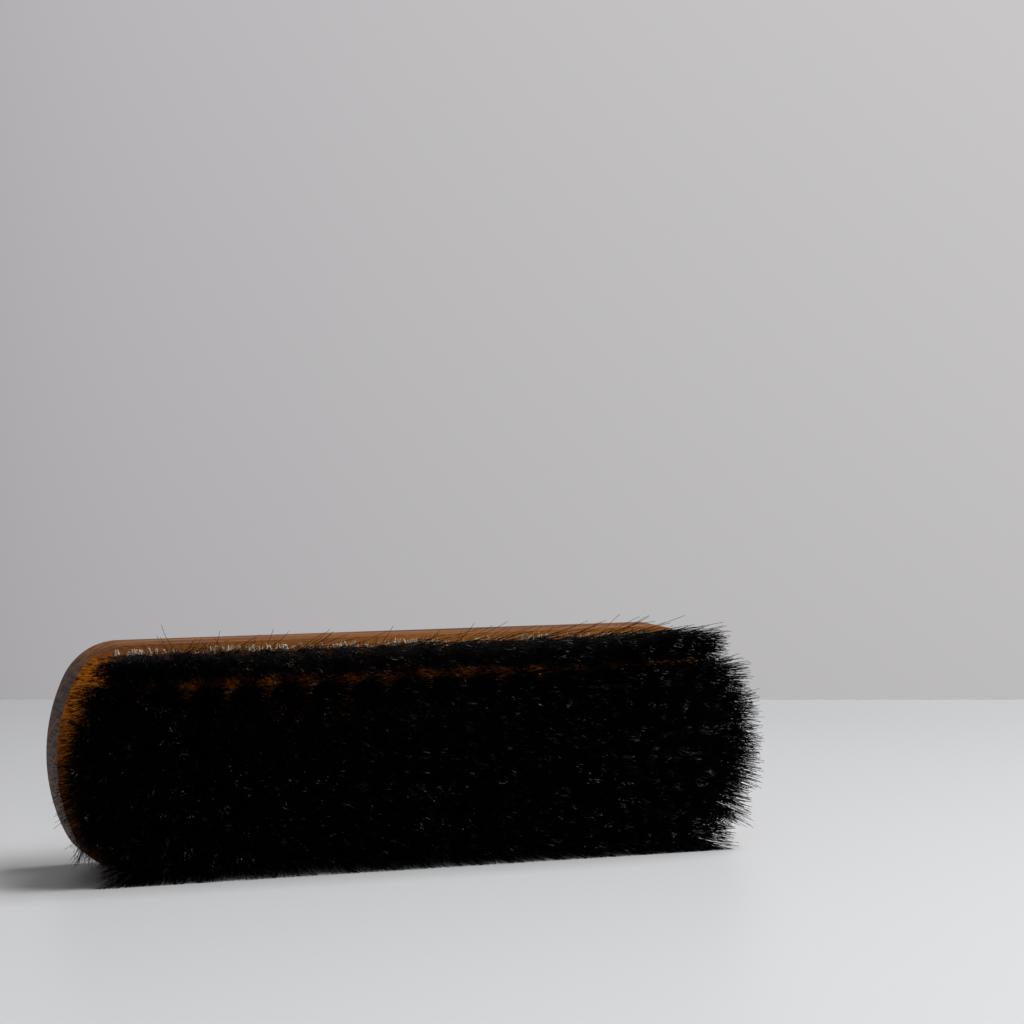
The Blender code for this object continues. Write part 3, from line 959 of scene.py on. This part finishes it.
def bristle_tree():
    """Grows the hair of one row of tufts out of their holes."""
    tree, into, out = open_tree(
        "bristles",
        "GeometryNodeTree",
        [
            ("Tufts", "NodeSocketGeometry", None),
            ("Hairs per tuft", "NodeSocketInt", 300),
            ("More at ends", "NodeSocketFloat", 4.6),
            ("Hole radius", "NodeSocketFloat", HOLE_RADIUS),
            ("Length", "NodeSocketFloat", 0.025),
            ("Lock spread", "NodeSocketFloat", 0.0009),
            ("Locks", "NodeSocketInt", 11),
            ("Stray", "NodeSocketFloat", 0.0007),
            ("Escaped share", "NodeSocketFloat", 0.02),
            ("Escape reach", "NodeSocketFloat", 0.0036),
            ("Escape lift", "NodeSocketFloat", 0.0024),
            ("Bend", "NodeSocketFloat", 0.0013),
            ("Curl", "NodeSocketFloat", 0.0023),
            ("Hair radius", "NodeSocketFloat", 0.000085),
            ("Seed", "NodeSocketInt", 1),
            ("Finish", "NodeSocketMaterial", None),
        ],
        [("Bristles", "NodeSocketGeometry")],
    )
    seed = into["Seed"]
    index = put(tree, "GeometryNodeInputIndex").outputs[0]
    place = put(tree, "GeometryNodeInputPosition").outputs[0]
    copies = keep(tree, into["Tufts"], "tuft", "INT", index)
    copies = copied(tree, copies, hair_amount(tree, into, place))

    spot = on_disc(tree, seed, 10)
    clear_radius = sum_of(tree, "SUBTRACT", into["Hole radius"], into["Hair radius"])
    root = vector_of(tree, "ADD", place, vector_of(tree, "SCALE", spot, clear_radius))
    root = vector_of(tree, "ADD", root, (0.0, ROOT_DEPTH, 0.0))
    tip = hair_tip(tree, into, seed, place, spot)
    sway = vector_of(tree, "SCALE", on_disc(tree, seed, 70), into["Bend"])
    halfway = vector_of(tree, "ADD", between(tree, 0.5, root, tip), sway)
    hook = vector_of(tree, "SCALE", on_disc(tree, seed, 90), into["Curl"])
    for name, value in (("root", root), ("halfway", halfway), ("tip", tip), ("hook", hook)):
        copies = keep(tree, copies, name, "FLOAT_VECTOR", value)
    copies = keep(tree, copies, "tone", "FLOAT", chance(tree, seed, 80))

    line = put(tree, "GeometryNodeCurvePrimitiveLine").outputs[0]
    feeds = {"Curve": line, "Count": HAIR_POINTS}
    line = put(tree, "GeometryNodeResampleCurve", feeds).outputs[0]
    hairs = put(tree, "GeometryNodeInstanceOnPoints", {"Points": copies, "Instance": line})
    loose = put(tree, "GeometryNodeRealizeInstances", {"Geometry": hairs.outputs[0]}).outputs[0]
    share = put(tree, "GeometryNodeSplineParameter").outputs["Factor"]
    feeds = {"Geometry": loose, "Position": hair_course(tree, into, share)}
    laid = put(tree, "GeometryNodeSetPosition", feeds).outputs[0]
    laid = keep(tree, laid, "along", "FLOAT", share)
    taper = sum_of(tree, "MULTIPLY_ADD", share, TAPER_SHARE, 1.0)
    feeds = {"Resolution": HAIR_SIDES, "Radius": 1.0}
    ring = put(tree, "GeometryNodeCurvePrimitiveCircle", feeds).outputs[0]
    feeds = {"Curve": laid, "Profile Curve": ring, "Fill Caps": True}
    feeds["Scale"] = times(tree, into["Hair radius"], taper)
    tubes = put(tree, "GeometryNodeCurveToMesh", feeds).outputs[0]
    return finish_tree(tree, tubes, into["Finish"], out["Bristles"])


BRISTLES = bristle_tree()
print("tree:", BRISTLES.name, "with", len(BRISTLES.nodes), "nodes")

# %% [markdown]
# Each row becomes one piece of hair. The rows share the tree. They differ in the seed and in the
# number of hairs, and more hairs escape from the top row.

# %% Grow the hair
ROW_HAIRS = (400, 350, 300, 350, 300, 430)
ESCAPED_SHARES = (0.30, 0.003, 0.003, 0.003, 0.003, 0.003)
SEED_STEP = 100


def grow(index):
    """The hair of one row."""
    hair = bpy.data.objects.new(f"horsehair_row_{index + 1}", rows[index].data)
    bpy.context.scene.collection.objects.link(hair)
    values = {"Hairs per tuft": ROW_HAIRS[index], "Escaped share": ESCAPED_SHARES[index]}
    values.update({"Seed": SEED_STEP * (index + 1), "Finish": HAIR})
    give(hair, BRISTLES, values)
    settle(hair, None)
    return hair


hair_rows = [grow(index) for index in range(ROW_COUNT)]
print("triangles per row:", [sum(len(f.vertices) - 2 for f in h.data.polygons) for h in hair_rows])

# %% [markdown]
# A drill tears the wood's fibres where it goes in, and no stain reaches the fresh wood. So each
# hole has a rim of short pale splinters, and a line of pale chips stands between the top row of
# tufts and the long edge next to it. Their near-white tone is partly painted highlight: it makes
# the bright glints along the top row. The fresh wood has the same mottle as the rest, in paler
# tones, and no lacquer.

# %% Material: torn wood, partly painted highlight
# Near-white, partly a painted highlight.
FRESH_WOOD_GLINT = (0.88, 0.77, 0.64, 1.0)
FRESH_WOOD_GLINT_DARK = (0.60, 0.45, 0.30, 1.0)
FRESH_ROUGHNESS = 0.7


def fresh_wood_glint():
    """Pale torn wood without stain."""
    mat, tree, shader, place = open_material("torn_beech")
    mottle = group_in(tree, FLECKS, {"Vector": place})["Mottle"]
    # Partly painted highlight: this near-white tone makes bright glints along the top row.
    tree.links.new(mixed(tree, mottle, FRESH_WOOD_GLINT_DARK, FRESH_WOOD_GLINT), shader.inputs["Base Color"])
    shader.inputs["Roughness"].default_value = FRESH_ROUGHNESS
    return mat


TORN_BEECH_GLINT = fresh_wood_glint()
print("material:", TORN_BEECH_GLINT.name)

# %% [markdown]
# Each splinter and chip is a small cone with its foot in the face. One tree sets the splinters in
# a ring round every hole and the chips along their line, where a noise makes them bigger in some
# places than in others.

# %% Torn fibres round the holes, partly painted highlight
FIBRES_PER_HOLE = 36
FIBRE_LENGTH = 0.0012
FIBRE_RADIUS = 0.00028
FIBRE_SIDES = 4
FIBRE_POINT = 5
FIBRE_RIM = (0.0001, 0.0012)
FIBRE_RISE = (-1.4, -0.25)
FIBRE_SWERVE = 0.8
FIBRE_SIZES = (0.45, 1.1)
CHIP_COUNT = 260
CHIP_MARGIN = 0.0025
CHIP_LINE_HALF = 0.0745
CHIP_LENGTH = 0.0013
CHIP_RADIUS = 0.00034
CHIP_POINT = 3
CHIP_JOG_ALONG = (-0.0012, 0.0012)
CHIP_JOG_UP = (-0.0004, 0.0004)
CHIP_TILT = (-0.5, 0.5)
CHIP_RISE = (-0.9, -0.2)
CHIP_SIZES = (0.5, 1.15)
CLUMPS = 110.0
CLUMP_SPAN = (0.36, 0.52)
CLUMP_SIZES = (0.45, 1.25)


def spike(tree, foot, point, length):
    """A small cone."""
    feeds = {"Vertices": FIBRE_SIDES, "Radius Top": foot / point, "Radius Bottom": foot}
    feeds["Depth"] = length
    return put(tree, "GeometryNodeMeshCone", feeds).outputs["Mesh"]


def stand(tree, points, cone, way, size):
    """A cone on every point, turned to face a way and scaled to a size."""
    aim = put(tree, "FunctionNodeAlignRotationToVector", {"Vector": way}, axis="Z").outputs[0]
    feeds = {"Points": points, "Instance": cone, "Rotation": aim, "Scale": size}
    return put(tree, "GeometryNodeInstanceOnPoints", feeds).outputs[0]


def moved(tree, points, offset):
    """Points moved by an offset."""
    feeds = {"Geometry": points, "Offset": offset}
    return put(tree, "GeometryNodeSetPosition", feeds).outputs[0]


def splinters(tree, into, seed):
    """A ring of splinters round every hole."""
    points = copied(tree, all_points(tree, into["Tufts"]), into["Fibres per hole"])
    turn = chance(tree, seed, 1, 0.0, 2 * math.pi)
    outward = vector_from(tree, x=sum_of(tree, "COSINE", turn), z=sum_of(tree, "SINE", turn))
    rim = sum_of(tree, "ADD", into["Hole radius"], chance(tree, seed, 2, *FIBRE_RIM))
    shift = vector_of(tree, "ADD", vector_of(tree, "SCALE", outward, rim), (0.0, FIBRE_RADIUS, 0.0))
    rise = vector_from(tree, y=chance(tree, seed, 3, *FIBRE_RISE))
    swerve = vector_of(tree, "SCALE", on_disc(tree, seed, 4), FIBRE_SWERVE)
    way = vector_of(tree, "ADD", vector_of(tree, "ADD", outward, rise), swerve)
    cone = spike(tree, FIBRE_RADIUS, FIBRE_POINT, into["Length"])
    return stand(tree, moved(tree, points, shift), cone, way, chance(tree, seed, 6, *FIBRE_SIZES))


def edge_chips(tree, into, seed):
    """A line of chips along the upper long edge."""
    step = sum_of(tree, "DIVIDE", 2 * CHIP_LINE_HALF, into["Chips"])
    feeds = {"Count": into["Chips"], "Offset": vector_from(tree, x=step)}
    feeds["Start Location"] = (-CHIP_LINE_HALF, FRONT, MIDDLE + WIDTH / 2 - CHIP_MARGIN)
    points = put(tree, "GeometryNodeMeshLine", feeds).outputs["Mesh"]
    along = chance(tree, seed, 11, *CHIP_JOG_ALONG)
    points = moved(tree, points, vector_from(tree, x=along, z=chance(tree, seed, 12, *CHIP_JOG_UP)))
    tilt = chance(tree, seed, 13, *CHIP_TILT)
    way = vector_from(tree, tilt, chance(tree, seed, 14, *CHIP_RISE), 1.0)
    place = put(tree, "GeometryNodeInputPosition").outputs[0]
    clump = ramp_of(tree, noise(tree, place, CLUMPS, 1.0)["Fac"], CLUMP_SPAN, CLUMP_SIZES)
    size = times(tree, clump, chance(tree, seed, 16, *CHIP_SIZES))
    return stand(tree, points, spike(tree, CHIP_RADIUS, CHIP_POINT, CHIP_LENGTH), way, size)


def fibre_tree():
    """Sets a ring of splinters round every hole and a line of chips above the top row."""
    tree, into, out = open_tree(
        "torn fibres",
        "GeometryNodeTree",
        [
            ("Tufts", "NodeSocketCollection", None),
            ("Fibres per hole", "NodeSocketInt", FIBRES_PER_HOLE),
            ("Hole radius", "NodeSocketFloat", HOLE_RADIUS),
            ("Length", "NodeSocketFloat", FIBRE_LENGTH),
            ("Chips", "NodeSocketInt", CHIP_COUNT),
            ("Seed", "NodeSocketInt", 5),
            ("Finish", "NodeSocketMaterial", None),
        ],
        [("Fibres", "NodeSocketGeometry")],
    )
    both = put(tree, "GeometryNodeJoinGeometry")
    tree.links.new(splinters(tree, into, into["Seed"]), both.inputs[0])
    tree.links.new(edge_chips(tree, into, into["Seed"]), both.inputs[0])
    return finish_tree(tree, both.outputs[0], into["Finish"], out["Fibres"])


# The splinters and chips are partly torn wood and partly painted highlight.
fibres = bpy.data.objects.new("torn_fibres", bpy.data.meshes.new("torn_fibres"))
bpy.context.scene.collection.objects.link(fibres)
give(fibres, fibre_tree(), {"Tufts": tuft_points, "Finish": TORN_BEECH_GLINT})
settle(fibres, SHARP_ANGLE)
print("splinters and chips:", len(fibres.data.polygons) // (FIBRE_SIDES + 2))

# %% [markdown]
# The points have done their work. The block and the hair now take the place of the measured
# model's plain solids, and all the pieces ride on its one body.

# %% Put the pieces on the measured model
for row in rows:
    bpy.data.objects.remove(row)
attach(block, "root")
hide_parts("beech_block")
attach(fibres, "root")
for index, hair in enumerate(hair_rows):
    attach(hair, "root")
    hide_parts(f"tuft_row_{index + 1}")
print("pieces:", len(hair_rows) + 2)

# %% [markdown]
# The camera stands where the photograph was taken from: a little to the left of the brush and a
# little above it, far enough away that a long lens is needed.

# %% Camera
CAMERA_PLACE = Vector((-0.2524, -0.7530, 0.1341))
CAMERA_YAW = math.radians(20.5)
CAMERA_PITCH = math.radians(-3.24)
CAMERA_LENS = 108.86
CAMERA_NEAR = 0.01

camera = bpy.data.objects.new("camera", bpy.data.cameras.new("camera"))
bpy.context.scene.collection.objects.link(camera)
camera.location = CAMERA_PLACE
camera.rotation_euler = (math.pi / 2 + CAMERA_PITCH, 0.0, -CAMERA_YAW)
camera.data.lens = CAMERA_LENS
camera.data.clip_start = CAMERA_NEAR
bpy.context.scene.camera = camera
print("camera", [round(value, 3) for value in camera.location])

# %% [markdown]
# The brush lies on a pale grey table in front of a grey backdrop that gets lighter towards the
# right. The table ends a short way behind the brush, and its far edge is the line in the
# picture where the two greys meet. The table is painted lighter towards the camera, a painted
# falloff of the light. The camera and reflections see the backdrop's own tone as a glow,
# whatever light falls on it, so the backdrop's brightness and its gradient are painted light.

# %% Paint of the table and paper of the backdrop
# Painted light: the table is lighter towards the camera, as the light falls off away from it.
TABLE_FAR_PAINTED_FALLOFF = (0.48, 0.485, 0.495, 1.0)
TABLE_NEAR_PAINTED_LIGHT = (0.64, 0.645, 0.652, 1.0)
TABLE_CLOUD = (0.9, 0.9, 0.9, 1.0)
PAINTED_FALLOFF_SPAN = (0.30, -0.22)
CLOUD_WAVES = 3.0
CLOUD_SHARE = 0.08
TABLE_ROUGHNESS = 0.45
TABLE_SPECULAR = 0.3
PAPER_LOW = ((0.372, 0.362, 0.376, 1.0), (0.510, 0.500, 0.505, 1.0))
PAPER_HIGH = ((0.430, 0.420, 0.436, 1.0), (0.585, 0.573, 0.578, 1.0))
# The backdrop's gradient, which the camera sees as a glow, is painted light.
LEFT_TO_RIGHT = (-0.42, 0.48)
SIDE_POWER = 0.6
LOW_TO_HIGH = (-0.17, 0.42)
FORWARD = Vector((math.sin(CAMERA_YAW), math.cos(CAMERA_YAW), 0.0))
RIGHTWARD = Vector((math.cos(CAMERA_YAW), -math.sin(CAMERA_YAW), 0.0))


def how_far(tree, place, way):
    """How far a place lies along a way."""
    feeds = {0: place, 1: way}
    return put(tree, "ShaderNodeVectorMath", feeds, operation="DOT_PRODUCT").outputs["Value"]


def table_paint():
    """Smooth pale grey paint."""
    mat, tree, shader, place = open_material("table_paint")
    # Painted light: the paint gets lighter towards the camera.
    near = ramp_of(tree, how_far(tree, place, FORWARD), PAINTED_FALLOFF_SPAN)
    tone = mixed(tree, near, TABLE_FAR_PAINTED_FALLOFF, TABLE_NEAR_PAINTED_LIGHT)
    cloud = times(tree, noise(tree, place, CLOUD_WAVES, 2.0)["Fac"], CLOUD_SHARE)
    tree.links.new(mixed(tree, cloud, tone, TABLE_CLOUD), shader.inputs["Base Color"])
    shader.inputs["Roughness"].default_value = TABLE_ROUGHNESS
    shader.inputs["Specular IOR Level"].default_value = TABLE_SPECULAR
    return mat


def backdrop_paper():
    """Grey paper that gets lighter to the right and upwards."""
    mat, tree, shader, place = open_material("backdrop_paper")
    across = ramp_of(tree, how_far(tree, place, RIGHTWARD), LEFT_TO_RIGHT)
    across = sum_of(tree, "POWER", across, SIDE_POWER)
    upward = ramp_of(tree, parts_of(tree, place)["Z"], LOW_TO_HIGH)
    tone = mixed(tree, upward, mixed(tree, across, *PAPER_LOW), mixed(tree, across, *PAPER_HIGH))
    tree.links.new(tone, shader.inputs["Base Color"])
    shader.inputs["Roughness"].default_value = 1.0
    # Painted light: the camera and reflections see the backdrop glow with this tone, gradient and
    # all, whatever light falls on it.
    painted_glow = put(tree, "ShaderNodeEmission", {"Color": tone, "Strength": 1.0})
    path = put(tree, "ShaderNodeLightPath").outputs
    seen = sum_of(tree, "MAXIMUM", path["Is Camera Ray"], path["Is Glossy Ray"])
    both = put(tree, "ShaderNodeMixShader", {0: seen, 1: shader.outputs[0], 2: painted_glow.outputs[0]})
    tree.links.new(both.outputs[0], tree.nodes["Material Output"].inputs["Surface"])
    return mat


print("paint and paper ready")

# %% [markdown]
# Table and backdrop are flat sheets. Their corners are given as seen from the camera's place on
# the ground, so that both run straight across the picture.

# %% Table and backdrop
TABLE_REACH = 1.140
BACKDROP_REACH = 2.6
STAGE_HALF = 4.0
GROUND = Vector((CAMERA_PLACE.x, CAMERA_PLACE.y, 0.0))


def stage_point(forward, right, up):
    """A point given as seen from the camera's place on the ground."""
    return GROUND + FORWARD * forward + RIGHTWARD * right + Vector((0.0, 0.0, up))


def sheet(name, corners, mat):
    """A flat sheet with four corners."""
    mesh = bpy.data.meshes.new(name)
    mesh.from_pydata([stage_point(*corner) for corner in corners], [], [range(4)])
    mesh.materials.append(mat)
    made = bpy.data.objects.new(name, mesh)
    bpy.context.scene.collection.objects.link(made)


sheet(
    "table",
    [
        (-STAGE_HALF, -STAGE_HALF, 0.0),
        (-STAGE_HALF, STAGE_HALF, 0.0),
        (TABLE_REACH, STAGE_HALF, 0.0),
        (TABLE_REACH, -STAGE_HALF, 0.0),
    ],
    table_paint(),
)
sheet(
    "backdrop",
    [
        (BACKDROP_REACH, -STAGE_HALF, -STAGE_HALF / 2),
        (BACKDROP_REACH, STAGE_HALF, -STAGE_HALF / 2),
        (BACKDROP_REACH, STAGE_HALF, STAGE_HALF / 2),
        (BACKDROP_REACH, -STAGE_HALF, STAGE_HALF / 2),
    ],
    backdrop_paper(),
)
print("table reaches", round(TABLE_REACH, 3), "m from the camera")

# %% [markdown]
# The light is soft and comes mostly from above on the right, and only a little from the front.
# That is what lights the narrow top side of the block and leaves the hair dark. A weak light from
# the front keeps the hair readable, and the grey world fills in the rest.

# %% Lights
LIT_POINT = Vector((0.0, 0.0, 0.03))
TOP_PLACE = Vector((0.62, -0.16, 1.03))
TOP_SIZE = 0.9
TOP_POWER = 19.5
FRONT_PLACE = Vector((-0.5, -1.3, 0.9))
FRONT_SIZE = 0.8
FRONT_POWER = 2.6
WORLD_TONE = (0.50, 0.50, 0.51, 1.0)
WORLD_STRENGTH = 0.27


def softbox(name, place, size, power):
    """A soft square lamp that faces the brush."""
    lamp = bpy.data.lights.new(name, "AREA")
    lamp.shape = "SQUARE"
    lamp.size = size
    lamp.energy = power
    made = bpy.data.objects.new(name, lamp)
    bpy.context.scene.collection.objects.link(made)
    made.location = place
    made.rotation_euler = (LIT_POINT - place).to_track_quat("-Z", "Y").to_euler()


softbox("top_light", TOP_PLACE, TOP_SIZE, TOP_POWER)
softbox("front_light", FRONT_PLACE, FRONT_SIZE, FRONT_POWER)

world = bpy.data.worlds.new("grey_room")
bpy.context.scene.world = world
world.use_nodes = True
background = world.node_tree.nodes["Background"].inputs
background["Color"].default_value = WORLD_TONE
background["Strength"].default_value = WORLD_STRENGTH
bpy.context.scene.view_settings.view_transform = "Standard"
